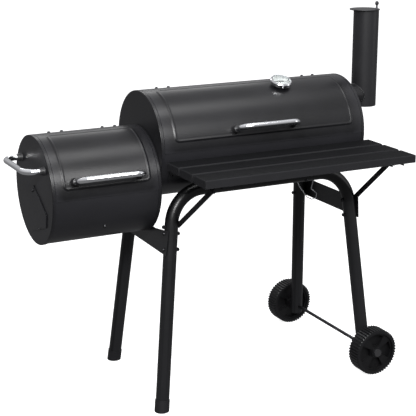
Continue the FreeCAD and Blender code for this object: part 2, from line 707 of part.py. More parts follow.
def make_chimney():
    wall = size("sizes.flue_wall")
    base = V(FLUE_X, 0, FLUE_FOOT)
    elbow_start = V(MAIN_LENGTH, 0, ELBOW_Z)
    reach = "sizes.flue_from_end"
    flue = cut(cylinder("sizes.flue_radius", "sizes.flue_length", base),
               cylinder("sizes.flue_radius - sizes.flue_wall", "sizes.flue_length", base + Z_AXIS * wall),
               cylinder("sizes.elbow_radius", reach, elbow_start, X_AXIS))
    keep("chimney_tube", flue)
    stub = fuse(cylinder("sizes.elbow_radius", reach + " + sizes.sheet",
                         elbow_start - X_AXIS * SHEET, X_AXIS),
                cylinder("sizes.flange_radius", "sizes.flue_wall", elbow_start, X_AXIS))
    bore = cylinder("sizes.elbow_radius - sizes.flue_wall", reach + " + 20",
                    elbow_start - X_AXIS * 10, X_AXIS)
    inside = cylinder("sizes.flue_radius - sizes.flue_wall", "sizes.flue_length", base)
    elbow = cut(stub, bore, inside)
    places = [(point, X_AXIS) for point in elbow_screw_places()]
    keep("chimney_elbow", drilled(elbow, places, SCREW_HOLE))
    for point, axis in places:
        start = V(point) + axis * wall
        body_screws.append(screw(start, -axis, wall + SHEET))


def flue_pivot():
    angle = math.radians(size("sizes.flue_pivot_angle"))
    ring = size("sizes.flue_pivot_radius")
    return V(FLUE_X + ring * math.cos(angle), ring * math.sin(angle), FLUE_TOP)


def make_chimney_cap():
    pivot = flue_pivot()
    out = V(pivot.x - FLUE_X, pivot.y, 0).normalize()
    centre = V(FLUE_X, 0, pivot.z) - out * size("sizes.flue_cap_offset")
    lift = 1.0
    thick = size("sizes.flue_cap_thickness")
    body = turned("chimney_cap_disc", [
        (0, 0), ("sizes.flue_cap_radius - 1", 0), ("sizes.flue_cap_radius", "sizes.flue_cap_thickness / 2"),
        ("sizes.flue_cap_radius - 1", "sizes.flue_cap_thickness"), (0, "sizes.flue_cap_thickness")],
        frame_at(centre + Z_AXIS * lift, Z_AXIS))
    keep("chimney_cap", drilled(body, [(pivot + Z_AXIS * lift, Z_AXIS)],
                                "sizes.screw_radius"))
    knob_base = pivot + Z_AXIS * (lift + thick)
    knob = turned("chimney_knob", [
        (0, 0), (4, 0), (2.6, 4), (2.6, "sizes.knob_height * 0.45"),
        ("sizes.knob_radius", "sizes.knob_height * 0.6"), ("sizes.knob_radius", "sizes.knob_height * 0.8"),
        ("sizes.knob_radius * 0.6", "sizes.knob_height"), (0, "sizes.knob_height")],
        frame_at(knob_base, Z_AXIS))
    post = cylinder("sizes.screw_radius", str(thick + lift + 12), pivot - Z_AXIS * 12)
    knob_part = fuse(knob, post)
    keep("chimney_knob", knob_part)
    inner = size("sizes.flue_radius - sizes.flue_wall")
    lug_top = pivot - Z_AXIS * 2
    lug = fuse(cylinder("6", "9", lug_top - Z_AXIS * 9), lug_arm(lug_top, out, inner))
    trimmed = doc.addObject("Part::Common", "common")
    trimmed.Base = lug
    trimmed.Tool = cylinder("sizes.flue_radius - sizes.flue_wall", "40", V(FLUE_X, 0, pivot.z - 30))
    bore = cylinder("sizes.screw_radius + sizes.running_fit", "40", pivot - Z_AXIS * 30)
    keep("chimney_lug", cut(trimmed, bore))


def lug_arm(lug_top, out, inner):
    """Short arm from the pivot boss to the chimney's inner wall."""
    arm = box(str(inner - size("sizes.flue_pivot_radius") + 6), "12", "9", ORIGIN)
    side = Z_AXIS.cross(out)
    base = lug_top - Z_AXIS * 9 - side * 6
    arm.Placement = FreeCAD.Placement(base, FreeCAD.Rotation(out, side, Z_AXIS, "ZXY"))
    return arm


# ---------------------------------------------------------------- frame

ARCH_TOP = polar(R + size("sizes.arch_gap + sizes.tube_radius"), -size("sizes.arch_below"), MAIN_Z)
BRACE_FOOT_Z = size("sizes.brace_foot_share") * ARCH_TOP.z
ARCH_JOINT_X = MAIN_LENGTH / 2 + size("sizes.arch_joint_offset")
LEAN = (size("sizes.foot_y") + ARCH_TOP.y) / ARCH_TOP.z
FEET_X = {
    ("left", True): (size("sizes.left_leg_x"), size("sizes.left_foot_x"), 0.0),
    ("left", False): (size("sizes.left_leg_x"), size("sizes.left_rear_foot_x"), 0.0),
    ("right", True): (MAIN_LENGTH - size("sizes.right_leg_inset"),
                      MAIN_LENGTH - size("sizes.axle_inset"), size("sizes.wheel_radius")),
}
FEET_X[("right", False)] = FEET_X[("right", True)]


def leg_point(side, front, z):
    """Centre of a leg at a height; the left legs are set out at the floor, the right at the axle."""
    top, foot, foot_z = FEET_X[(side, front)]
    share = (ARCH_TOP.z - z) / (ARCH_TOP.z - foot_z)
    y = size("sizes.foot_y") - z * LEAN
    return V(top + (foot - top) * share, -y if front else y, z)


def leg_axis(side, front):
    return (leg_point(side, front, ARCH_TOP.z) - leg_point(side, front, 0)).normalize()


def arch_half(side, foot_z, end_x, outer, inner, swage):
    """Leg, bend and top run of one half of the front arch, in its own leaning plane."""
    stretch = math.hypot(1, LEAN)
    low = leg_point(side, True, foot_z)
    top_z = ARCH_TOP.z
    high = leg_point(side, True, top_z)
    corners = [(low.x, foot_z * stretch), (high.x, top_z * stretch), (end_x, top_z * stretch)]
    tilt = math.degrees(math.atan(LEAN))
    place = FreeCAD.Placement(V(0, -size("sizes.foot_y"), 0), FreeCAD.Rotation(X_AXIS, -tilt))
    label = "front_arch_" + side
    arch = tube(label + "_tube", corners, "sizes.arch_bend", outer, inner, place)
    end = V(end_x, ARCH_TOP.y, top_z)
    if swage:
        neck = cylinder("sizes.tube_radius - sizes.tube_wall", "sizes.swage_length * 2",
                        end - X_AXIS * size("sizes.swage_length"), X_AXIS)
        hollow = cylinder("sizes.tube_radius - 2 * sizes.tube_wall", "sizes.swage_length * 2",
                          end - X_AXIS * size("sizes.swage_length"), X_AXIS)
        arch = fuse(arch, cut(neck, hollow))
    return arch


def plate_places(side):
    """Local frame of a cross plate: origin between the legs, z axis away from the barrel's middle."""
    height = size("sizes.%s_plate_share" % side) * ARCH_TOP.z
    front = leg_point(side, True, height)
    rear = leg_point(side, False, height)
    across = (rear - front).normalize()
    up = (leg_axis(side, True) + leg_axis(side, False)).normalize()
    normal = up.cross(across).normalize()
    if normal.x * (-1 if side == "left" else 1) < 0:
        normal = -normal
    middle = (front + rear) * 0.5 + normal * size("sizes.tube_radius - sizes.plate_seat")
    return middle, across, normal, (rear - front).Length


RIGHT_PLATE_BOLT = []


def make_cross_plates():
    bolt_places = {}
    for side in ("left", "right"):
        middle, across, normal, gap = plate_places(side)
        half = gap / 2 + size("sizes.plate_overhang")
        rise = size("sizes.plate_height / 2")
        lug = rise * 0.35
        pitch = size("sizes.plate_bolt_pitch / 2")
        place = frame_at(middle, normal, across)
        turn = 1 if place.Rotation.multVec(Y_AXIS).z > 0 else -1
        holes = []
        for end in (-1, 1):
            for level in (-pitch, pitch):
                x = end * (gap / 2 - turn * level * LEAN)
                holes.append((x, level, BOLT_HOLE))
                point = place.multVec(V(x, level, size("sizes.plate_thickness")))
                front = (across * end).y < 0
                bolt_places.setdefault((side, front), []).append((point, normal))
                if side == "right" and front and turn * level > 0:
                    RIGHT_PLATE_BOLT.append((point, normal))
                extra = 0.0
                if side == "right" and front and turn * level > 0:
                    extra = size("sizes.brace_thickness") + RIGHT_BRACE_X - point.x + 0.5
                grip = size("sizes.plate_thickness + 2 * sizes.tube_radius") + 0.6 + extra
                frame_bolts.append(screw(point + normal * extra, -normal, grip, "sizes.bolt_radius"))
        points = [(-half, -rise), (half, -rise), (half + 2, rise), (gap * 0.28, rise - lug),
                  (-gap * 0.28, rise - lug), (-half - 2, rise)]
        if turn < 0:
            points = [(x, -y) for x, y in points][::-1]
        blank = plate("cross_plate_%s_blank" % side, points, holes, "sizes.plate_thickness", place)
        seats = [leg_space(side, front) for front in (True, False)]
        keep("cross_plate_" + side, cut(blank, *seats))
    return bolt_places


def leg_space(side, front):
    """The room that a leg takes, for parts that are seated on it."""
    low = leg_point(side, front, 0)
    return cylinder("sizes.tube_radius", str(ARCH_TOP.z), low, leg_axis(side, front))


def barrel_bolt_places():
    """Bolts that hold the barrel to the arch top, pointing at the barrel's axis."""
    toward = V(0, -ARCH_TOP.y, MAIN_Z - ARCH_TOP.z).normalize()
    reach = MAIN_LENGTH * 0.23
    return [(V(ARCH_JOINT_X + shift, ARCH_TOP.y, ARCH_TOP.z), toward) for shift in (-reach, reach)]


def barrel_spacer(centre, toward):
    """Saddle spacer that fills the gap from a frame tube to the barrel."""
    tube_r = size("sizes.tube_radius")
    gap_to_axis = math.hypot(centre.y, MAIN_Z - centre.z)
    length = gap_to_axis - size(SHELL_OUTER)
    base = cylinder("9", str(length), centre, toward)
    barrel_space = cylinder(SHELL_OUTER, "40", V(centre.x - 20, 0, MAIN_Z), X_AXIS)
    return base, barrel_space, length - tube_r


def leg_low(side):
    """Height of a leg's lower end: inside the foot caps on the left, below the axle on the right."""
    return size("sizes.foot_cap_floor") if side == "left" else size("sizes.wheel_radius") - 22


def make_frame():
    bolt_places = make_cross_plates()
    arch_bolts = barrel_bolt_places()
    spacers = []
    shell_bolts = []
    joint = V(ARCH_JOINT_X - size("sizes.swage_length / 2"), ARCH_TOP.y, ARCH_TOP.z)
    arch_normal = V(0, -1, -LEAN).normalize()
    for side in ("left", "right"):
        arch = arch_half(side, leg_low(side), ARCH_JOINT_X, "sizes.tube_radius",
                         "sizes.tube_radius - sizes.tube_wall", side == "right")
        holes = [(p - n * size("sizes.tube_radius"), n) for p, n in bolt_places[(side, True)]]
        if side == "left":
            holes.append((leg_point(side, True, BRACE_FOOT_Z), X_AXIS))
        bolts = [b for b in arch_bolts if (b[0].x < ARCH_JOINT_X) == (side == "left")]
        arch = drilled_deep(arch, holes + bolts)
        if side == "right":
            arch = cut(arch, axle_hole(leg_point(side, True, size("sizes.wheel_radius"))))
        arch = cut(arch, hole(joint, arch_normal, SCREW_HOLE, size("sizes.tube_radius") + 8))
        keep("front_arch_" + side, arch)
        for centre, toward in bolts:
            spacers.append(make_spacer_and_bolt(centre, toward, X_AXIS))
            depth = math.hypot(centre.y, MAIN_Z - centre.z) - R
            shell_bolts.append((V(centre) + toward * depth, toward))
        shell_bolts.append(make_rear_leg(side, bolt_places[(side, False)]))
    keep("barrel_spacers", group(spacers))
    start = joint + arch_normal * size("sizes.tube_radius")
    frame_bolts.append(screw(start, -arch_normal, 2 * size("sizes.tube_radius")))
    return shell_bolts


def drilled_deep(part, holes):
    reach = size("sizes.tube_radius") + 8
    return cut(part, *[hole(point, axis, BOLT_HOLE, reach) for point, axis in holes])


def axle_hole(point):
    return hole(point, Y_AXIS, "sizes.axle_radius + sizes.running_fit", 30)


def make_spacer_and_bolt(centre, toward, tube_axis):
    base, barrel_space, gap = barrel_spacer(centre, toward)
    tube_space = cylinder("sizes.tube_radius", "80", V(centre) - tube_axis * 40, tube_axis)
    bore = hole(centre, toward, BOLT_HOLE, 60)
    spacer = cut(base, barrel_space, tube_space, bore)
    start = V(centre) - toward * size("sizes.tube_radius")
    grip = 2 * size("sizes.tube_radius") + gap + SHEET + 0.2
    frame_bolts.append(screw(start, toward, grip, "sizes.bolt_radius"))
    return spacer


def make_rear_leg(side, plate_bolts):
    """Straight tube whose upper end is pressed into a tongue that follows the barrel."""
    metal = 2 * size("sizes.tube_wall")
    outer = "(%s + 2 * sizes.tube_wall)" % SHELL_OUTER
    low = leg_point(side, False, leg_low(side))
    high = leg_point(side, False, ARCH_TOP.z + 22)
    length = (high - low).Length
    tube_part = cut(cylinder("sizes.tube_radius", str(length), low, high - low),
                    cylinder("sizes.tube_radius - sizes.tube_wall", str(length), low, high - low),
                    cylinder(outer, "sizes.main_length", V(0, 0, MAIN_Z), X_AXIS))
    width = size("sizes.tongue_width")
    start = size("180 + sizes.arch_below - sizes.tongue_angle + 1")
    middle_x = leg_point(side, False, ARCH_TOP.z + 15).x
    tongue = sector(SHELL_OUTER, outer, start, "sizes.tongue_angle", "sizes.tongue_width",
                    middle_x + width / 2, MAIN_Z)
    turn = start + size("sizes.tongue_angle") * 0.4
    seat = polar(size(outer), turn, MAIN_Z)
    bolt = (V(middle_x, seat.y, seat.z), outward(turn))
    holes = [(p - n * size("sizes.tube_radius"), n) for p, n in plate_bolts]
    leg = drilled_deep(fuse(tube_part, tongue), holes)
    leg = drilled(leg, [bolt], BOLT_HOLE)
    if side == "right":
        leg = cut(leg, axle_hole(leg_point(side, False, size("sizes.wheel_radius"))))
    keep("rear_leg_" + side, leg)
    frame_bolts.append(screw(bolt[0], -bolt[1], metal + SHEET + 0.2, "sizes.bolt_radius"))
    return bolt


def make_foot_caps():
    caps = []
    for front in (True, False):
        low = leg_point("left", front, size("sizes.foot_cap_floor"))
        axis = leg_axis("left", front)
        reach = "sizes.foot_cap_height + 20"
        start = V(low) - axis * (size("sizes.foot_cap_floor") + 20)
        blank = cylinder("sizes.tube_radius + sizes.foot_cap_wall", reach, start, axis)
        socket = cylinder("sizes.tube_radius", "60", low, axis)
        floor = box("80", "80", "40", V(low.x - 40, low.y - 40, -40))
        caps.append(cut(blank, socket, floor))
    keep("foot_caps", group(caps))


# ---------------------------------------------------------------- wheels

AXLE_X = MAIN_LENGTH - size("sizes.axle_inset")
AXLE_LEG_Y = abs(leg_point("right", True, size("sizes.wheel_radius")).y)
SLEEVE_START = AXLE_LEG_Y + size("sizes.tube_radius") + 1.7
WHEEL_OUTER_Y = SLEEVE_START + size("sizes.sleeve_length + sizes.wheel_width") + 0.4


def make_wheel(label, side):
    """Moulded wheel: toothed rim, web with blind pockets, and a hub bored for the axle."""
    width = size("sizes.wheel_width")
    place = frame_at(V(AXLE_X, side * WHEEL_OUTER_Y, size("sizes.wheel_radius")),
                     V(0, -side, 0), X_AXIS)
    rim = "sizes.wheel_radius - sizes.wheel_rim"
    bore = "sizes.axle_radius + sizes.running_fit"
    recess = "sizes.wheel_recess"
    inside = "sizes.wheel_width - sizes.wheel_recess"
    body = turned(label, [
        (bore, 0), ("sizes.hub_radius", 0), ("sizes.hub_radius", recess), (rim, recess), (rim, 0),
        ("sizes.wheel_radius - 2", 0), ("sizes.wheel_radius", 2),
        ("sizes.wheel_radius", "sizes.wheel_width - 2"), ("sizes.wheel_radius - 2", "sizes.wheel_width"),
        (rim, "sizes.wheel_width"), (rim, inside), ("sizes.hub_radius", inside),
        ("sizes.hub_radius", "sizes.wheel_width"), (bore, "sizes.wheel_width")], place)
    doc.recompute()
    inner = size("sizes.hub_radius") + 5
    outer = size(rim) - 5
    fan = math.radians(30)
    for face in (0, width):
        pocket = new_sketch(body, label + "_pocket", "XY_Plane")
        pocket.AttachmentOffset = FreeCAD.Placement(V(0, 0, face), FreeCAD.Rotation())
        outline(pocket, [(inner * math.cos(fan), -inner * math.sin(fan)),
                         (outer * math.cos(fan), -outer * math.sin(fan)), (outer * 1.04, 0),
                         (outer * math.cos(fan), outer * math.sin(fan)),
                         (inner * math.cos(fan), inner * math.sin(fan))])
        repeat(body, cut_both_ways(body, pocket, "2 * (sizes.wheel_recess + sizes.wheel_pocket)"), 4)
    tooth = new_sketch(body, label + "_tooth", "XY_Plane")
    pitch = math.radians(360 / size("sizes.tread_teeth"))
    radius = size("sizes.wheel_radius")
    depth = size("sizes.tread_depth")
    centre = math.radians(-90) + pitch / 2
    def edge(r, turn):
        return (r * math.cos(centre + turn), r * math.sin(centre + turn))
    outline(tooth, [edge(radius + 2, -pitch * 0.46), edge(radius + 2, pitch * 0.46),
                    edge(radius - depth, pitch * 0.14), edge(radius - depth, -pitch * 0.14)])
    groove = cut_both_ways(body, tooth, "4 * sizes.wheel_width")
    repeat(body, groove, int(size("sizes.tread_teeth")))
    return keep(label, body)


def cut_both_ways(body, sketch, length):
    """Cut a sketch's outline out of a body, half the length to each side of the sketch."""
    feature = body.newObject("PartDesign::Pocket", "pocket")
    feature.Profile = sketch
    feature.setExpression("Length", length)
    feature.Midplane = True
    return feature


def repeat(body, feature, times):
    pattern = body.newObject("PartDesign::PolarPattern", "pattern")
    pattern.Originals = [feature]
    pattern.Axis = (feature.Profile[0], ["N_Axis"])
    pattern.Angle = 360
    pattern.Occurrences = times
    body.Tip = pattern
    doc.recompute()
    return pattern


def make_axle_and_wheels():
    x = AXLE_X
    z = size("sizes.wheel_radius")
    outer = WHEEL_OUTER_Y
    half = outer + 5
    keep("axle", cylinder("sizes.axle_radius", str(2 * half), V(x, -half, z), Y_AXIS))
    make_wheel("wheel_front", -1)
    make_wheel("wheel_rear", 1)
    retainers = []
    for side in (-1, 1):
        start = V(x, side * SLEEVE_START, z)
        sleeve = cylinder("sizes.axle_radius + 3", "sizes.sleeve_length", start, V(0, side, 0))
        room = hole(start, Y_AXIS, "sizes.axle_radius", 30)
        retainers.append(cut(sleeve, room))
        cap = cylinder("sizes.axle_radius * 2.2", "6.6", V(x, side * (outer + 0.4), z), V(0, side, 0))
        socket = cylinder("sizes.axle_radius", str(half), V(x, 0, z), V(0, side, 0))
        retainers.append(cut(cap, socket))
    keep("wheel_retainers", group(retainers))


# ---------------------------------------------------------------- shelf

SHELF_TOP = MAIN_Z - size("sizes.shelf_drop")
SLAT_BOTTOM = SHELF_TOP - size("sizes.slat_thickness")
SHELF_BACK = -(R + size("sizes.shelf_gap"))
SHELF_FRONT = SHELF_BACK - 3 * size("sizes.slat_width") - 2 * size("sizes.slat_gap")


BRACKETS_X = {"left": size("sizes.left_bracket_x"),
              "right": MAIN_LENGTH - size("sizes.right_bracket_inset")}
RIGHT_BRACE_X = BRACKETS_X["right"] + size("sizes.bracket_width / 2")


def make_slats():
    pitch = size("sizes.slat_width + sizes.slat_gap")
    for index, label in enumerate(("shelf_slat_rear", "shelf_slat_middle", "shelf_slat_front")):
        body = doc.addObject("PartDesign::Body", label)
        sketch = new_sketch(body, label + "_outline", "XY_Plane")
        length = "sizes.main_length - sizes.shelf_left + sizes.shelf_beyond"
        outline(sketch, [(0, 0), (length, 0), (length, "sizes.slat_width"), (0, "sizes.slat_width")])
        pad(body, sketch, "sizes.slat_thickness")
        body.Placement = FreeCAD.Placement(
            V(size("sizes.shelf_left"), SHELF_BACK - index * pitch - size("sizes.slat_width"), SLAT_BOTTOM),
            FreeCAD.Rotation())
        top = size("sizes.slat_thickness")
        def upper(edge):
            return all(abs(vertex.Z - top) < 1e-6 for vertex in edge.Vertexes)
        round_edges(body, "sizes.slat_round", upper)
        pilots = [cylinder("sizes.screw_radius", "16", point - Z_AXIS, Z_AXIS)
                  for point in shelf_screw_places(index)]
        keep(label, cut(body, *pilots))


def shelf_screw_places(index):
    pitch = size("sizes.slat_width + sizes.slat_gap")
    middle = SHELF_BACK - index * pitch - size("sizes.slat_width / 2")
    for x in BRACKETS_X.values():
        for side in (-1, 1):
            yield V(x + side * size("sizes.bracket_width") * 0.3,
                    middle + side * size("sizes.slat_width") * 0.22, SLAT_BOTTOM)


def brace_places(side):
    """Foot on the leg, head on the shelf bracket, and the direction of the bolt at the foot."""
    if side == "left":
        foot = leg_point(side, True, BRACE_FOOT_Z)
        foot.x += size("sizes.tube_radius + sizes.brace_shim")
        normal = X_AXIS
    else:
        foot, normal = RIGHT_PLATE_BOLT[0]
        foot = V(foot)
        foot.x = RIGHT_BRACE_X
    inset = size("sizes.brace_head_inset" if side == "left" else "sizes.right_head_inset")
    head_z = SLAT_BOTTOM - size("sizes.bracket_depth") - 9
    return foot, V(foot.x, SHELF_FRONT + inset, head_z), normal


def make_brackets():
    metal = size("sizes.bracket_metal")
    depth = size("sizes.bracket_depth")
    width = size("sizes.bracket_width")
    length = SHELF_BACK - SHELF_FRONT - 14
    for side in ("left", "right"):
        x = BRACKETS_X[side]
        label = "shelf_bracket_" + side
        body = doc.addObject("PartDesign::Body", label + "_channel")
        sketch = new_sketch(body, label + "_section", "XZ_Plane")
        half = width / 2
        outline(sketch, [(-half, 0), (-half, -depth), (-half + metal, -depth), (-half + metal, -metal),
                         (half - metal, -metal), (half - metal, -depth), (half, -depth), (half, 0)])
        pad(body, sketch, str(length))
        body.Placement = FreeCAD.Placement(V(x, SHELF_BACK, SLAT_BOTTOM), FreeCAD.Rotation())
        foot_start = math.degrees(math.asin((SLAT_BOTTOM - MAIN_Z) / size(SHELL_OUTER)))
        foot = sector(SHELL_OUTER, SHELL_OUTER + " + sizes.bracket_metal", 360 + foot_start - 16, "16",
                      "sizes.bracket_width", x + half, MAIN_Z)
        arm = box("sizes.bracket_width", "30", "sizes.bracket_metal",
                  V(x - half, SHELF_BACK - 2, SLAT_BOTTOM - metal))
        reach = cut(arm, cylinder(SHELL_OUTER, "200", V(x - 100, 0, MAIN_Z), X_AXIS))
        _, head, _ = brace_places(side)
        ear = box("sizes.bracket_metal", "24", "24",
                  V(head.x - metal, head.y - 12, SLAT_BOTTOM - 24))
        holes = [(p, Z_AXIS) for index in range(3) for p in shelf_screw_places(index)
                 if abs(p.x - x) < half]
        bolt = V(x, 0, 0) + polar(size(SHELL_OUTER) + metal, foot_start - 10, MAIN_Z)
        side_bolts = [(V(bolt.x + off, bolt.y, bolt.z), outward(foot_start - 10)) for off in (-11, 11)]
        bracket = drilled(fuse(body, foot, reach, ear), holes + side_bolts, SCREW_HOLE)
        bracket = cut(bracket, hole(head, X_AXIS, SCREW_HOLE, 6))
        keep(label, bracket)
        BARRELS["main"]["shell_holes"].extend(side_bolts)
        for point, axis in side_bolts:
            body_screws.append(screw(point, -axis, metal + SHEET + 0.2))


def make_braces():
    """Flat bars with clipped ends from the front legs up to the shelf brackets."""
    thick = size("sizes.brace_thickness")
    half = size("sizes.brace_width / 2")
    for side in ("left", "right"):
        foot, head, normal = brace_places(side)
        length = (head - foot).Length
        place = frame_at(foot, X_AXIS, (head - foot).normalize())
        blank = plate("shelf_brace_%s_blank" % side, [
            (-half * 0.4, -half), (length + half * 0.4, -half), (length + half, -half * 0.4),
            (length + half, half * 0.4), (length + half * 0.4, half), (-half * 0.4, half),
            (-half, half * 0.4), (-half, -half * 0.4)], [(str(length), 0, SCREW_HOLE)],
            "sizes.brace_thickness", place)
        bolt_hole = hole(foot, normal, BOLT_HOLE + " + sizes.hole_clearance", 20)
        keep("shelf_brace_" + side, cut(blank, leg_space(side, True), bolt_hole))
        body_screws.append(screw(head + X_AXIS * thick, -X_AXIS, thick + size("sizes.bracket_metal")))
        if side == "left":
            grip = thick + 2 * size("sizes.tube_radius + sizes.brace_shim") + 0.6
            frame_bolts.append(screw(foot + X_AXIS * thick, -X_AXIS, grip, "sizes.bolt_radius"))


def make_shelf_screws():
    screws = []
    metal = size("sizes.bracket_metal")
    for index in range(3):
        for point in shelf_screw_places(index):
            screws.append(screw(V(point) - Z_AXIS * metal, Z_AXIS, metal + 14, nut=False))
    keep("shelf_screws", group(screws))


# ---------------------------------------------------------------- grates

def grate(left, length, z, half_width):
    """Welded wire grate: a rectangular rim of thick wire with thin wires across it."""
    rim = size("sizes.frame_rod_radius")
    y = half_width - rim
    rods = []
    for side in (-y, y):
        rods.append(cylinder("sizes.frame_rod_radius", str(length), V(left, side, z), X_AXIS))
    for end in (left + rim, left + length - rim):
        rods.append(cylinder("sizes.frame_rod_radius", str(2 * y), V(end, -y, z), Y_AXIS))
    count = int(length // size("sizes.grate_pitch"))
    step = (length - 2 * rim) / count
    for index in range(1, count):
        rods.append(cylinder("sizes.rod_radius", str(2 * y), V(left + rim + index * step, -y, z), Y_AXIS))
    return fuse(*rods)


def chord(drop, z_offset=0.0):
    """Half width inside the shell at a depth below the barrel's axis."""
    inner = size(SHELL_INNER)
    return math.sqrt(inner ** 2 - (drop + z_offset) ** 2) - size("sizes.grate_side_gap")


def resting(drop):
    """Half width of a grate whose side rods just touch the shell at a depth below its axis."""
    rim = size("sizes.frame_rod_radius")
    reach = size(SHELL_INNER) - rim - 0.02
    return math.sqrt(reach ** 2 - drop ** 2) + rim


def make_grates():
    end = size("sizes.grate_end_gap")
    rim = size("sizes.frame_rod_radius")
    drop = size("sizes.main_grate_drop")
    half = (MAIN_LENGTH - 3 * end) / 2
    for label, left in (("cooking_grate_left", end), ("cooking_grate_right", 2 * end + half)):
        keep(label, grate(left, half, MAIN_Z - drop, chord(drop, rim)))
    coal = size("sizes.barrel_radius * sizes.main_coal_drop")
    keep("main_charcoal_grate", grate(end, MAIN_LENGTH - 2 * end, MAIN_Z - coal, resting(coal)))
    drop_fire = size("sizes.firebox_grate_drop")
    fire_left = -FIRE_LENGTH + end
    fire_length = FIRE_LENGTH - 2 * end
    keep("firebox_cooking_grate", grate(fire_left, fire_length, FIRE_Z - drop_fire, chord(drop_fire, rim)))
    coal_fire = size("sizes.barrel_radius * sizes.firebox_coal_drop")
    keep("firebox_charcoal_grate", grate(fire_left, fire_length, FIRE_Z - coal_fire, resting(coal_fire)))
    rails = []
    spans = ((0.0, MAIN_LENGTH, MAIN_Z, drop), (-FIRE_LENGTH, FIRE_LENGTH, FIRE_Z, drop_fire))
    for left, length, z, level in spans:
        top = z - level - rim
        thick = size("sizes.rail_thickness")
        blank_half = size(SHELL_INNER)
        for side in (-1, 1):
            inner = chord(level, rim) - size("sizes.rail_width")
            rail = box(str(length - 2 * end), str(blank_half - inner), "sizes.rail_thickness",
                       V(left + end, inner if side > 0 else -blank_half, top - thick))
            trimmed = doc.addObject("Part::Common", "common")
            trimmed.Base = rail
            trimmed.Tool = cylinder(SHELL_INNER, str(length), V(left, 0, z), X_AXIS)
            rails.append(trimmed)
    keep("grate_rails", group(rails))


# ---------------------------------------------------------------- drip hook

def make_drip_hook():
    """Bent wire that hangs from two holes in the bottom of the main barrel, for a grease can."""
    x = MAIN_LENGTH - size("sizes.hook_from_right")
    half = size("sizes.hook_half_width")
    wire = size("sizes.wire_radius")
    bottom = MAIN_Z - size(SHELL_INNER)
    top = wire + size("sizes.slip")
    drop = -size("sizes.hook_drop")
    corners = [(-half - 16, top), (-half, top), (-half * 0.5, drop * 0.45), (half * 0.36, drop * 0.89),
               (half * 0.88, drop), (half * 1.33, drop * 0.96), (half * 1.41, drop * 0.8),
               (half * 0.79, drop * 0.6), (half, drop * 0.27), (half, top), (half + 16, top)]
    place = FreeCAD.Placement(V(x, 0, bottom), FreeCAD.Rotation())
    wire_tube = tube("drip_hook_wire", corners, "sizes.wire_radius * 3", "sizes.wire_radius",
                     None, place)
    keep("drip_hook", wire_tube)
    return [(V(x + side * half, 0, bottom), Z_AXIS) for side in (-1, 1)]


# ---------------------------------------------------------------- assembly

def make_side_handle():
    middle = V(-FIRE_LENGTH, 0, FIRE_Z + size("sizes.barrel_radius * sizes.side_handle_rise"))
    bar, spacers, screws, feet = handle("side_handle", middle, 0, -X_AXIS, Y_AXIS)
    keep("side_handle", bar)
    keep("side_handle_spacers", group(spacers))
    body_screws.extend(screws)
    return feet


def shift_to_base():
    """Move every part so that the origin is at the middle of the base."""
    x_low = -FIRE_LENGTH - size("sizes.handle_reach + sizes.handle_radius")
    x_high = FLUE_X + size("sizes.flue_radius")
    y_low = SHELF_FRONT
    y_high = WHEEL_OUTER_Y + 7
    move = V(-(x_low + x_high) / 2, -(y_low + y_high) / 2, 0)
    for part in parts.values():
        part.Placement = FreeCAD.Placement(move, FreeCAD.Rotation()).multiply(part.Placement)
    return move


def build():
    make_hinges()
    gauge_base, gauge_out = make_thermometer()
    main_middle = MAIN_LENGTH / 2 + size("sizes.main_handle_offset")
    make_lid("main", main_middle, [(gauge_base, gauge_out)])
    make_lid("firebox", -FIRE_LENGTH / 2, [])
    side_feet = make_side_handle()
    make_chimney()
    make_chimney_cap()
    make_caps(side_feet)
    make_damper()
    shell_bolts = make_frame()
    make_foot_caps()
    make_axle_and_wheels()
    make_slats()
    make_brackets()
    make_braces()
    make_shelf_screws()
    make_grates()
    hook_holes = make_drip_hook()
    shell("main", BARRELS["main"]["shell_holes"], shell_bolts, hook_holes)
    studs = list(grate_stud_places())
    shell("firebox", BARRELS["firebox"]["shell_holes"] + studs, [], [])
    for point, axis in studs:
        body_screws.append(screw(point, -axis, SHEET + 0.2))
    keep("body_screws", group(body_screws))
    keep("frame_bolts", group(frame_bolts))
    doc.recompute()
    move = shift_to_base()
    doc.recompute()
    print("base shift", [round(value, 3) for value in move])


def check_and_write():
    bad = [obj.Name for obj in doc.Objects if "Invalid" in obj.State or "Error" in obj.State]
    if bad:
        raise RuntimeError("failed features: %s" % bad)
    for label, part in parts.items():
        if part.Shape.isNull() or not part.Shape.isValid():
            raise RuntimeError("bad shape: " + label)
    os.makedirs("parts", exist_ok=True)
    for label, part in parts.items():
        part.Shape.exportStep("parts/%s.step" % label)
    print(len(parts), "parts written")


build()
check_and_write()
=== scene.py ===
import json
import math

import bmesh
import bpy
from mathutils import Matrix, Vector


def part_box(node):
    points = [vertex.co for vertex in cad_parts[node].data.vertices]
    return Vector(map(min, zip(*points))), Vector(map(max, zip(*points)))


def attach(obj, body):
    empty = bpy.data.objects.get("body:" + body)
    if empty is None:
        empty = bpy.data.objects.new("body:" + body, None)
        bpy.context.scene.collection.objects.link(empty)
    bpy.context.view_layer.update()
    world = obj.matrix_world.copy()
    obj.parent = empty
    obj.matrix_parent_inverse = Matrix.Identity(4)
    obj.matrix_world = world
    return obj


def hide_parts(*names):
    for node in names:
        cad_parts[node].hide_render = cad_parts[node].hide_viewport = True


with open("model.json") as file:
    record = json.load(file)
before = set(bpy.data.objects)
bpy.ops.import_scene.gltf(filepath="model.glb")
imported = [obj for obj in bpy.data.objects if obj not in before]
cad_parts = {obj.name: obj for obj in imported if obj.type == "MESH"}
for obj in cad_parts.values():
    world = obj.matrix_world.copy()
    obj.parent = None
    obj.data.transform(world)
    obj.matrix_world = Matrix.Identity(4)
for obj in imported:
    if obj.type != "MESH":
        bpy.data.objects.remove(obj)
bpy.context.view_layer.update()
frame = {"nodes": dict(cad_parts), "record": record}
record = frame["record"]
nodes = frame["nodes"]

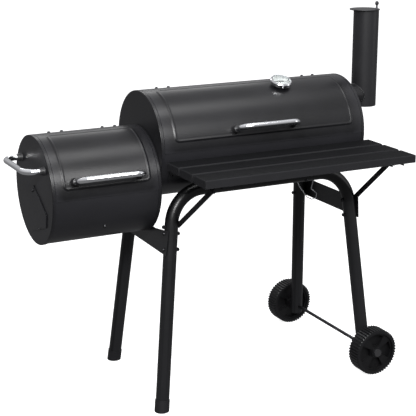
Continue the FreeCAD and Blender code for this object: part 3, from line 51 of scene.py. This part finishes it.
MM = 0.001
SLOT = {part["node"]: part["material_slot"] for part in record["subparts"]}


# ---------------------------------------------------------------- shader helpers

class Shader:
    """A node material built step by step around one Principled shader."""

    def __init__(self, name):
        self.material = bpy.data.materials.new(name)
        self.material.use_nodes = True
        self.tree = self.material.node_tree
        self.bsdf = self.tree.nodes["Principled BSDF"]
        self.coordinates = self.node("ShaderNodeTexCoord").outputs["Object"]

    def node(self, kind, **values):
        made = self.tree.nodes.new(kind)
        for key, value in values.items():
            setattr(made, key, value)
        return made

    def link(self, source, target):
        self.tree.links.new(source, target)

    def set(self, **values):
        for key, value in values.items():
            self.bsdf.inputs[key.replace("_", " ")].default_value = value

    def stretched(self, scale):
        """Object coordinates scaled along each axis."""
        mapping = self.node("ShaderNodeMapping")
        mapping.inputs["Scale"].default_value = scale
        self.link(self.coordinates, mapping.inputs["Vector"])
        return mapping.outputs["Vector"]

    def noise(self, vector, scale, detail=3.0, roughness=0.5):
        made = self.node("ShaderNodeTexNoise")
        made.inputs["Scale"].default_value = scale
        made.inputs["Detail"].default_value = detail
        made.inputs["Roughness"].default_value = roughness
        self.link(vector, made.inputs["Vector"])
        return made.outputs["Fac"]

    def span(self, value, low, high, to_low, to_high):
        """Value mapped from one range to another."""
        made = self.node("ShaderNodeMapRange")
        ends = ("From Min", low), ("From Max", high), ("To Min", to_low), ("To Max", to_high)
        for key, number in ends:
            made.inputs[key].default_value = number
        self.link(value, made.inputs["Value"])
        return made.outputs["Result"]

    def blend(self, factor, first, second):
        """Mix of two colours, each a tuple or a socket."""
        made = self.node("ShaderNodeMix", data_type="RGBA")
        for key, colour in (("A", first), ("B", second)):
            socket = next(s for s in made.inputs if s.name == key and s.type == "RGBA")
            if isinstance(colour, tuple):
                socket.default_value = (*colour, 1.0)
            else:
                self.link(colour, socket)
        self.link(factor, made.inputs["Factor"])
        return next(s for s in made.outputs if s.type == "RGBA")

    def maths(self, operation, first, second=None):
        made = self.node("ShaderNodeMath", operation=operation)
        for socket, value in zip(made.inputs, (first, second)):
            if value is None:
                continue
            if isinstance(value, (int, float)):
                socket.default_value = value
            else:
                self.link(value, socket)
        return made.outputs["Value"]

    def bump(self, height, distance, strength=1.0, below=None):
        made = self.node("ShaderNodeBump")
        made.inputs["Distance"].default_value = distance
        made.inputs["Strength"].default_value = strength
        self.link(height, made.inputs["Height"])
        if below is not None:
            self.link(below, made.inputs["Normal"])
        return made.outputs["Normal"]

    def finish(self, colour=None, roughness=None, normal=None):
        for name, source in (("Base Color", colour), ("Roughness", roughness), ("Normal", normal)):
            if source is not None:
                self.link(source, self.bsdf.inputs[name])
        return self.material


WORN_FROM, WORN_TO = 0.52, 0.60


def edge_wear(shader):
    """How far a place lies on a convex edge, where the finish is rubbed."""
    geometry = shader.node("ShaderNodeNewGeometry")
    return shader.span(geometry.outputs["Pointiness"], WORN_FROM, WORN_TO, 0.0, 1.0)


# ---------------------------------------------------------------- materials

PEEL_DEPTH = 0.06 * MM


def paint(name, dark, light, rough, streak=(1, 1, 1), worn=0.35):
    """Baked-on black paint: cloudy tone, fine orange peel, slightly rubbed edges."""
    s = Shader(name)
    cloud = s.noise(s.coordinates, 6.0, 4.0, 0.55)
    drawn = s.noise(s.stretched(streak), 90.0, 3.0, 0.6)
    tone = s.maths("ADD", s.maths("MULTIPLY", cloud, 0.65), s.maths("MULTIPLY", drawn, 0.35))
    base = s.blend(s.span(tone, 0.35, 0.65, 0.0, 1.0), dark, light)
    rubbed = s.maths("MULTIPLY", edge_wear(s), worn)
    worn_colour = tuple(c * 3.2 + 0.006 for c in light)
    colour = s.blend(rubbed, base, worn_colour)
    roughness = s.span(tone, 0.3, 0.7, rough - 0.05, rough + 0.06)
    fine = s.noise(s.coordinates, 1400.0, 2.0)
    dimples = s.noise(s.coordinates, 420.0, 2.0)
    normal = s.bump(fine, PEEL_DEPTH * 0.5, 0.35, s.bump(dimples, PEEL_DEPTH, 0.5))
    s.set(Specular_IOR_Level=0.34)
    return s.finish(colour, roughness, normal)


POLISHED = 0.004 * MM


def metal(name, dark, light, rough, depth=0.02 * MM):
    """Bare or plated metal with faint marks."""
    s = Shader(name)
    marks = s.noise(s.coordinates, 240.0, 4.0, 0.6)
    smudge = s.noise(s.coordinates, 18.0, 3.0)
    colour = s.blend(s.span(marks, 0.3, 0.7, 0.0, 1.0), dark, light)
    roughness = s.span(smudge, 0.3, 0.75, rough * 0.7, rough * 1.5)
    normal = s.bump(marks, depth, 0.3)
    s.set(Metallic=1.0)
    return s.finish(colour, roughness, normal)


GRAIN_DEPTH = 0.08 * MM


def plastic(name, dark, light, rough):
    """Moulded plastic with a fine spark-eroded grain."""
    s = Shader(name)
    cloud = s.noise(s.coordinates, 25.0, 3.0)
    colour = s.blend(s.maths("MULTIPLY", edge_wear(s), 0.5), s.blend(cloud, dark, light),
                     tuple(c * 2.2 for c in light))
    s.set(Specular_IOR_Level=0.35)
    texture = s.noise(s.coordinates, 900.0, 3.0, 0.6)
    roughness = s.span(texture, 0.3, 0.7, rough - 0.06, rough + 0.08)
    return s.finish(colour, roughness, s.bump(texture, GRAIN_DEPTH, 0.5))


FIBRE_DEPTH = 0.3 * MM


def stained_wood(name, shift):
    """Planed softwood under a black stain: long grain, growth lines and a few knots."""
    s = Shader(name)
    offset = s.node("ShaderNodeVectorMath", operation="ADD")
    s.link(s.coordinates, offset.inputs[0])
    offset.inputs[1].default_value = shift
    s.coordinates = offset.outputs["Vector"]
    knots = s.node("ShaderNodeTexVoronoi", feature="F1")
    knots.inputs["Scale"].default_value = 5.0
    s.link(s.stretched((1.0, 1.7, 1.0)), knots.inputs["Vector"])
    knot = s.span(knots.outputs["Distance"], 0.02, 0.13, 1.0, 0.0)
    warp = s.node("ShaderNodeVectorMath", operation="MULTIPLY_ADD")
    s.link(s.stretched((1.2, 1.0, 1.0)), warp.inputs[0])
    warp.inputs[1].default_value = (1, 1, 1)
    swirl = s.node("ShaderNodeCombineXYZ")
    s.link(s.maths("MULTIPLY", knot, 0.012), swirl.inputs["Y"])
    s.link(swirl.outputs["Vector"], warp.inputs[2])
    rings = s.node("ShaderNodeTexWave", wave_type="BANDS", bands_direction="Y")
    rings.inputs["Scale"].default_value = 42.0
    rings.inputs["Distortion"].default_value = 5.0
    rings.inputs["Detail"].default_value = 3.0
    rings.inputs["Detail Scale"].default_value = 0.35
    s.link(warp.outputs["Vector"], rings.inputs["Vector"])
    fibre = s.noise(s.stretched((3.0, 160.0, 160.0)), 9.0, 5.0, 0.65)
    streaks = s.noise(s.stretched((0.8, 14.0, 14.0)), 7.0, 3.0)
    tone = s.maths("ADD", s.maths("MULTIPLY", rings.outputs["Fac"], 0.3),
                   s.maths("MULTIPLY", fibre, 0.7))
    base = s.blend(s.span(tone, 0.25, 0.8, 0.0, 1.0),
                   (0.0018, 0.0019, 0.0022), (0.0068, 0.0070, 0.0080))
    streaked = s.maths("MULTIPLY", s.span(streaks, 0.4, 0.7, 0.0, 1.0), 0.5)
    base = s.blend(streaked, base, (0.0032, 0.0034, 0.0038))
    colour = s.blend(s.maths("MULTIPLY", knot, 0.8), base, (0.0010, 0.0010, 0.0012))
    colour = s.blend(s.maths("MULTIPLY", edge_wear(s), 0.5), colour, (0.024, 0.024, 0.026))
    roughness = s.span(fibre, 0.3, 0.7, 0.55, 0.75)
    s.set(Specular_IOR_Level=0.06)
    normal = s.bump(fibre, FIBRE_DEPTH, 0.6,
                    s.bump(rings.outputs["Fac"], FIBRE_DEPTH, 0.35))
    return s.finish(colour, roughness, normal)


def clear_glass(name):
    """Clear glass under a thin greasy film."""
    s = Shader(name)
    film = s.noise(s.coordinates, 60.0, 3.0)
    s.set(Base_Color=(0.95, 0.98, 0.98, 1.0), Transmission_Weight=1.0, IOR=1.45)
    return s.finish(None, s.span(film, 0.3, 0.7, 0.01, 0.06), None)


def dial_print(name, light, dark):
    """Printed or painted sheet with fine specks."""
    s = Shader(name)
    speck = s.noise(s.coordinates, 300.0, 3.0)
    colour = s.blend(s.span(speck, 0.3, 0.8, 0.0, 0.6), light, dark)
    return s.finish(colour, s.span(speck, 0.3, 0.7, 0.35, 0.5), s.bump(speck, 0.02 * MM, 0.3))


MATERIALS = {
    "barrel_paint": paint("barrel_black", (0.0030, 0.0030, 0.0034), (0.0062, 0.0062, 0.0074),
                          0.34, streak=(1, 6, 6)),
    "chimney_paint": paint("chimney_black", (0.0028, 0.0028, 0.0032), (0.0056, 0.0056, 0.0064),
                           0.38, streak=(6, 6, 1)),
    "damper_paint": paint("damper_black", (0.0030, 0.0030, 0.0034), (0.0060, 0.0060, 0.0070), 0.36),
    "frame_paint": paint("frame_black", (0.0018, 0.0019, 0.0022), (0.0036, 0.0037, 0.0042),
                         0.32, worn=0.5),
    "brace_steel": paint("brace_black", (0.0024, 0.0024, 0.0027), (0.0045, 0.0045, 0.0052),
                         0.34, worn=0.6),
    "hinge_paint": paint("hinge_black", (0.0028, 0.0028, 0.0032), (0.0055, 0.0055, 0.0062),
                         0.36, worn=0.7),
    "cooking_wire": metal("plated_wire", (0.42, 0.42, 0.43), (0.58, 0.58, 0.59), 0.26),
    "coal_wire": paint("grate_black", (0.02, 0.02, 0.02), (0.035, 0.034, 0.033), 0.55, worn=0.6),
    "handle_chrome": metal("handle_chrome", (0.80, 0.81, 0.83), (0.88, 0.89, 0.90),
                           0.07, depth=POLISHED),
    "spacer_plastic": plastic("spacer_black", (0.010, 0.010, 0.011), (0.016, 0.016, 0.017), 0.42),
    "screw_steel": metal("screw_black", (0.030, 0.030, 0.033), (0.055, 0.055, 0.058), 0.48),
    "zinc_wire": metal("zinc_wire", (0.55, 0.56, 0.58), (0.72, 0.73, 0.75), 0.28),
    "axle_steel": metal("axle_black", (0.030, 0.030, 0.033), (0.060, 0.060, 0.064), 0.34),
    "retainer_plastic": plastic("retainer_black", (0.010, 0.010, 0.011), (0.016, 0.016, 0.017),
                                0.45),
    "foot_plastic": plastic("foot_black", (0.0030, 0.0030, 0.0036), (0.0055, 0.0055, 0.0064), 0.45),
    "wheel_plastic": plastic("wheel_black", (0.0024, 0.0024, 0.0028), (0.0046, 0.0046, 0.0052),
                             0.40),
    "gauge_chrome": metal("gauge_chrome", (0.74, 0.75, 0.77), (0.84, 0.85, 0.86),
                          0.10, depth=POLISHED),
    "dial_face": dial_print("dial_white", (0.80, 0.80, 0.78), (0.66, 0.66, 0.64)),
    "lens_glass": clear_glass("lens_clear"),
    "needle_paint": dial_print("needle_dark", (0.030, 0.028, 0.028), (0.020, 0.019, 0.019)),
    "stem_steel": metal("stem_steel", (0.45, 0.45, 0.45), (0.60, 0.60, 0.60), 0.30),
    "knob_steel": metal("knob_black", (0.035, 0.035, 0.038), (0.070, 0.070, 0.075), 0.34),
}
SLATS = ("shelf_slat_rear", "shelf_slat_middle", "shelf_slat_front")
for row in range(len(SLATS)):
    grain_shift = (0.37 * row, 0.11 * row, 0.0)
    MATERIALS["slat_%d" % row] = stained_wood("slat_black_%d" % row, grain_shift)


def material_for(node):
    """Material of a node: its own grain for each slat, otherwise by its slot."""
    if node in SLATS:
        return MATERIALS["slat_%d" % SLATS.index(node)]
    return MATERIALS[SLOT[node]]


def dress_cad():
    """Materials on the slots of the CAD nodes."""
    for name, obj in nodes.items():
        material = material_for(name)
        if not obj.material_slots:
            obj.data.materials.append(material)
        for slot in obj.material_slots:
            slot.material = material


# ---------------------------------------------------------------- mesh helpers

def mesh_piece(name, vertices, faces, slot, body, smooth=35.0):
    """A closed mesh with one material, riding on a body."""
    mesh = bpy.data.meshes.new(name)
    mesh.from_pydata(vertices, [], faces)
    mesh.materials.append(MATERIALS[slot])
    obj = bpy.data.objects.new(name, mesh)
    bpy.context.scene.collection.objects.link(obj)
    cleaned = bmesh.new()
    cleaned.from_mesh(mesh)
    bmesh.ops.remove_doubles(cleaned, verts=cleaned.verts, dist=1e-6)
    bmesh.ops.recalc_face_normals(cleaned, faces=cleaned.faces)
    cleaned.to_mesh(mesh)
    cleaned.free()
    mesh.set_sharp_from_angle(angle=math.radians(smooth))
    for polygon in mesh.polygons:
        polygon.use_smooth = True
    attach(obj, body)
    return obj


def merge_values(*groups):
    """Sorted sample places without near repeats."""
    values = sorted(value for group in groups for value in group)
    kept = values[:1]
    for value in values[1:]:
        if value - kept[-1] > 1e-5:
            kept.append(value)
    return kept


def steps(low, high, size):
    """Even places from low to high, about a size apart."""
    count = max(1, round((high - low) / size))
    return [low + (high - low) * index / count for index in range(count + 1)]


# ---------------------------------------------------------------- lids

LID_THICKNESS = 1.5 * MM
LID_BACK = math.radians(111.5)
PANEL_STEP = 2.0 * MM
PANEL_DIP = 0.8 * MM
PANEL_CORNER = 15.0 * MM
PANEL_SLOPE = 5.0 * MM
PANEL_LOW, PANEL_HIGH = math.radians(10.0), math.radians(84.0)
NOTCH_START = math.radians(110.0)
NOTCH_ROOM = 2.5 * MM
LEAF_SPACING = 60 * MM


def barrel_axis(cap):
    """Radius of a barrel and the place of its axis, from the box of its end cap."""
    low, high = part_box(cap)
    radius = (high[2] - low[2]) / 2
    return radius, (high[1] + low[1]) / 2, (high[2] + low[2]) / 2


def soft_step(value):
    """Smooth rise from 0 to 1."""
    share = min(max(value, 0.0), 1.0)
    return share * share * (3 - 2 * share)


def panel_rise(along, around, half_along, half_around):
    """Height of the pressed panel at a distance from its middle."""
    dx = abs(along) - half_along + PANEL_CORNER
    dy = abs(around) - half_around + PANEL_CORNER
    outside = math.hypot(max(dx, 0.0), max(dy, 0.0)) + min(max(dx, dy), 0.0) - PANEL_CORNER
    inside = -outside / PANEL_SLOPE
    return PANEL_STEP * soft_step(inside) - PANEL_DIP * soft_step(inside - 1)


def hinge_notches(body):
    """Spans along the barrel where the knuckles need room in the back edge of the lid."""
    places = sorted(vertex.co.x for vertex in nodes[body + "_hinge_leaves"].data.vertices)
    gaps = [i for i in range(1, len(places)) if places[i] - places[i - 1] > LEAF_SPACING]
    leaves = places[:gaps[0]], places[gaps[0]:]
    return [(leaf[0] - NOTCH_ROOM, leaf[-1] + NOTCH_ROOM) for leaf in leaves]


def lid_grid(x_low, x_high, panel_low, panel_high, radius, notches):
    """Sample places along and around a lid, close together at the panel's border."""
    edge = PANEL_CORNER + 2 * MM
    xs = merge_values([x_low, x_high], [x for notch in notches for x in notch],
                      steps(panel_low - MM, panel_low + edge, MM),
                      steps(panel_low + edge, panel_high - edge, 12 * MM),
                      steps(panel_high - edge, panel_high + MM, MM))
    turn = edge / radius
    fine = MM / radius
    angles = merge_values(steps(0.0, PANEL_LOW - fine, fine * 5),
                          steps(PANEL_LOW - fine, PANEL_LOW + turn, fine),
                          steps(PANEL_LOW + turn, PANEL_HIGH - turn, fine * 4),
                          steps(PANEL_HIGH - turn, PANEL_HIGH + fine, fine),
                          steps(PANEL_HIGH + fine, NOTCH_START, fine * 4),
                          [NOTCH_START, LID_BACK])
    return xs, angles


def pressed_lid(node, cap, body, margin):
    """Rolled lid with a softly pressed panel, in the same place as the CAD lid."""
    low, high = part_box(node)
    radius, axis_y, axis_z = barrel_axis(cap)
    panel_low, panel_high = low[0] + margin, high[0] - margin
    middle_x, half_x = (panel_low + panel_high) / 2, (panel_high - panel_low) / 2
    middle_a, half_a = (PANEL_LOW + PANEL_HIGH) / 2, (PANEL_HIGH - PANEL_LOW) / 2
    notches = hinge_notches(body)
    xs, angles = lid_grid(low[0], high[0], panel_low, panel_high, radius, notches)
    rows, columns = len(xs), len(angles)
    vertices = []
    for inset in (0.0, LID_THICKNESS):
        for x in xs:
            for angle in angles:
                around = (angle - middle_a) * radius
                r = radius + panel_rise(x - middle_x, around, half_x, half_a * radius) - inset
                vertices.append((x, axis_y - r * math.cos(angle), axis_z + r * math.sin(angle)))
    inner = rows * columns
    faces = []
    rim = {}
    for i in range(rows - 1):
        middle = (xs[i] + xs[i + 1]) / 2
        notched = any(start <= middle <= end for start, end in notches)
        for j in range(columns - 1):
            if notched and j == columns - 2:
                continue
            a = i * columns + j
            quad = (a, a + 1, a + columns + 1, a + columns)
            faces.append(quad)
            faces.append(tuple(inner + index for index in reversed(quad)))
            for first, second in zip(quad, quad[1:] + quad[:1]):
                if (second, first) in rim:
                    del rim[(second, first)]
                else:
                    rim[(first, second)] = True
    for first, second in rim:
        faces.append((first, second, inner + second, inner + first))
    lid = mesh_piece(node + "_pressed", vertices, faces, "barrel_paint", body)
    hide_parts(node)


# ---------------------------------------------------------------- thermometer dial

DIAL_TILT = math.radians(69.0)
TICK_COUNT, TICK_FROM, TICK_TURN = 31, 225, 9
TICK_OUTER = 25.0 * MM
LONG_TICK_INNER, LONG_TICK_HALF = 19.5 * MM, 0.55 * MM
SHORT_TICK_INNER, SHORT_TICK_HALF = 22.0 * MM, 0.25 * MM
TICK_GAP, TICK_THICKNESS = 0.05 * MM, 0.12 * MM


def dial_marks():
    """Printed ticks on the dial, laid just above its face."""
    points = [Vector(vertex.co) for vertex in nodes["thermometer_dial"].data.vertices]
    centre = sum(points, Vector()) / len(points)
    out = Vector((0, -math.cos(DIAL_TILT), math.sin(DIAL_TILT)))
    side = Vector((1, 0, 0))
    up = out.cross(side)
    top = max((point - centre).dot(out) for point in points) + TICK_GAP
    vertices, faces = [], []

    def mark(turn, inner, half):
        ray = side * math.cos(turn) + up * math.sin(turn)
        across = out.cross(ray)
        first = len(vertices)
        corners = ((inner, -half), (TICK_OUTER, -half), (TICK_OUTER, half), (inner, half))
        for height in (top, top + TICK_THICKNESS):
            for reach, offset in corners:
                vertices.append(tuple(centre + out * height + ray * reach + across * offset))
        quads = ((0, 3, 2, 1), (4, 5, 6, 7), (0, 1, 5, 4), (1, 2, 6, 5), (2, 3, 7, 6), (3, 0, 4, 7))
        faces.extend(tuple(first + index for index in quad) for quad in quads)

    for index in range(TICK_COUNT):
        turn = math.radians(TICK_FROM - TICK_TURN * index)
        if index % 5 == 0:
            mark(turn, LONG_TICK_INNER, LONG_TICK_HALF)
        else:
            mark(turn, SHORT_TICK_INNER, SHORT_TICK_HALF)
    mesh_piece("dial_marks", vertices, faces, "spacer_plastic", "main_lid")


# ---------------------------------------------------------------- chimney weld

STUB_RADIUS = 33.0 * MM
BEAD_RADIUS, BEAD_RIPPLE, RIPPLE_EVERY = 2.0, 0.35, 4
WELD_STEPS, WELD_SIDES = 160, 8


def elbow_weld():
    """Rippled weld bead where the stub meets the flue."""
    flue_low, flue_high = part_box("chimney_tube")
    stub_low, stub_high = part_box("chimney_elbow")
    flue_x, axis_y = (flue_low[0] + flue_high[0]) / 2, (flue_low[1] + flue_high[1]) / 2
    flue_radius = (flue_high[1] - flue_low[1]) / 2
    axis_z = (stub_low[2] + stub_high[2]) / 2
    path = []
    for index in range(WELD_STEPS):
        turn = 2 * math.pi * index / WELD_STEPS
        y, z = STUB_RADIUS * math.cos(turn), STUB_RADIUS * math.sin(turn)
        path.append(Vector((flue_x - math.sqrt(flue_radius ** 2 - y ** 2), axis_y + y, axis_z + z)))
    vertices, faces = [], []
    for index, point in enumerate(path):
        ahead = (path[(index + 1) % WELD_STEPS] - path[index - 1]).normalized()
        normal = Vector((0, point.y - axis_y, point.z - axis_z)).normalized()
        side = ahead.cross(normal).normalized()
        ripple = BEAD_RIPPLE * math.sin(index * 2 * math.pi / RIPPLE_EVERY)
        radius = (BEAD_RADIUS + ripple) * MM
        for step in range(WELD_SIDES):
            turn = 2 * math.pi * step / WELD_SIDES
            vertices.append(tuple(point + normal * radius * math.cos(turn)
                                  + side * radius * math.sin(turn)))
    for index in range(WELD_STEPS):
        for step in range(WELD_SIDES):
            a, b = index * WELD_SIDES + step, index * WELD_SIDES + (step + 1) % WELD_SIDES
            c, d = (a + WELD_SIDES) % len(vertices), (b + WELD_SIDES) % len(vertices)
            faces.append((a, b, d, c))
    mesh_piece("elbow_weld", vertices, faces, "chimney_paint", "root", 60.0)


# ---------------------------------------------------------------- stage

FLOOR_SIZE, FLOOR_DROP, FLOOR_GLOW = 30.0, 0.5 * MM, 0.86
GLOW_BELOW, GLOW_ABOVE = 0.20, 0.80


def pale_floor():
    """Plain pale floor, hidden from the object's own reflections."""
    bpy.ops.mesh.primitive_plane_add(size=FLOOR_SIZE, location=(0, 0, -FLOOR_DROP))
    floor = bpy.context.object
    floor.name = "floor"
    s = Shader("floor_pale")
    cloud = s.noise(s.coordinates, 2.0, 3.0)
    s.set(Emission_Color=(1.0, 1.0, 1.0, 1.0), Emission_Strength=FLOOR_GLOW)
    s.finish(s.blend(cloud, (0.50, 0.50, 0.50), (0.54, 0.54, 0.54)),
             s.span(cloud, 0.3, 0.7, 0.85, 0.95))
    floor.data.materials.append(s.material)
    floor.visible_diffuse = False
    floor.visible_glossy = False


def studio():
    """White surroundings to look at, and dimmer ones to light the black paint."""
    world = bpy.data.worlds.new("studio")
    world.use_nodes = True
    tree = world.node_tree
    seen = tree.nodes["Background"]
    seen.inputs["Color"].default_value = (1.0, 1.0, 1.0, 1.0)
    seen.inputs["Strength"].default_value = 1.0
    glow = tree.nodes.new("ShaderNodeBackground")
    glow.inputs["Color"].default_value = (0.97, 0.97, 1.0, 1.0)
    place = tree.nodes.new("ShaderNodeTexCoord")
    axes = tree.nodes.new("ShaderNodeSeparateXYZ")
    rise = tree.nodes.new("ShaderNodeMapRange")
    spread = (("From Min", -0.15), ("From Max", 0.9),
              ("To Min", GLOW_BELOW), ("To Max", GLOW_ABOVE))
    for key, number in spread:
        rise.inputs[key].default_value = number
    tree.links.new(place.outputs["Generated"], axes.inputs["Vector"])
    tree.links.new(axes.outputs["Z"], rise.inputs["Value"])
    tree.links.new(rise.outputs["Result"], glow.inputs["Strength"])
    path = tree.nodes.new("ShaderNodeLightPath")
    mix = tree.nodes.new("ShaderNodeMixShader")
    tree.links.new(path.outputs["Is Camera Ray"], mix.inputs["Fac"])
    tree.links.new(glow.outputs["Background"], mix.inputs[1])
    tree.links.new(seen.outputs["Background"], mix.inputs[2])
    tree.links.new(mix.outputs["Shader"], tree.nodes["World Output"].inputs["Surface"])
    bpy.context.scene.world = world
    bpy.context.scene.view_settings.view_transform = "Standard"


def aimed(name, data, place, direction):
    """An object in the scene that looks along a direction."""
    obj = bpy.data.objects.new(name, data)
    obj.location = place
    obj.rotation_euler = Vector(direction).to_track_quat("-Z", "Y").to_euler()
    bpy.context.scene.collection.objects.link(obj)
    return obj


def area_light(name, place, target, size, power):
    light = bpy.data.lights.new(name, "AREA")
    light.shape = "RECTANGLE"
    light.size, light.size_y = size
    light.energy = power
    aimed(name, light, place, Vector(target) - Vector(place))


def lights():
    """Soft boxes in front and above, with weaker ones to the right and behind."""
    area_light("key", (-1.4, -2.2, 2.1), (-0.2, 0, 0.7), (0.5, 0.4), 60)
    area_light("soft", (-0.2, -2.5, 2.3), (0, 0, 0.75), (2.4, 1.0), 85)
    area_light("overhead", (0.1, -0.6, 3.0), (0, 0, 0.7), (2.4, 0.8), 30)
    area_light("fill", (2.6, -1.6, 1.4), (0, 0, 0.6), (1.0, 1.6), 7)
    area_light("back", (0.4, 2.4, 2.2), (0, 0, 0.7), (2.4, 0.6), 12)


CAMERA_TURN, CAMERA_TILT = math.radians(27.04), math.radians(15.54)
CAMERA_PLACE = (-1.4945, -2.8875, 1.425)
CAMERA_SENSOR, CAMERA_LENS = 36.0, 101.8


def camera():
    """Camera to the left of the front, looking a little down."""
    data = bpy.data.cameras.new("camera")
    data.sensor_width = CAMERA_SENSOR
    data.lens = CAMERA_LENS
    level = math.cos(CAMERA_TILT)
    ahead = (math.sin(CAMERA_TURN) * level, math.cos(CAMERA_TURN) * level, -math.sin(CAMERA_TILT))
    bpy.context.scene.camera = aimed("camera", data, CAMERA_PLACE, ahead)


dress_cad()
pressed_lid("main_lid", "main_left_cap", "main_lid", 29 * MM)
pressed_lid("firebox_lid", "firebox_outer_cap", "firebox_lid", 20 * MM)
dial_marks()
elbow_weld()
pale_floor()
studio()
lights()
camera()
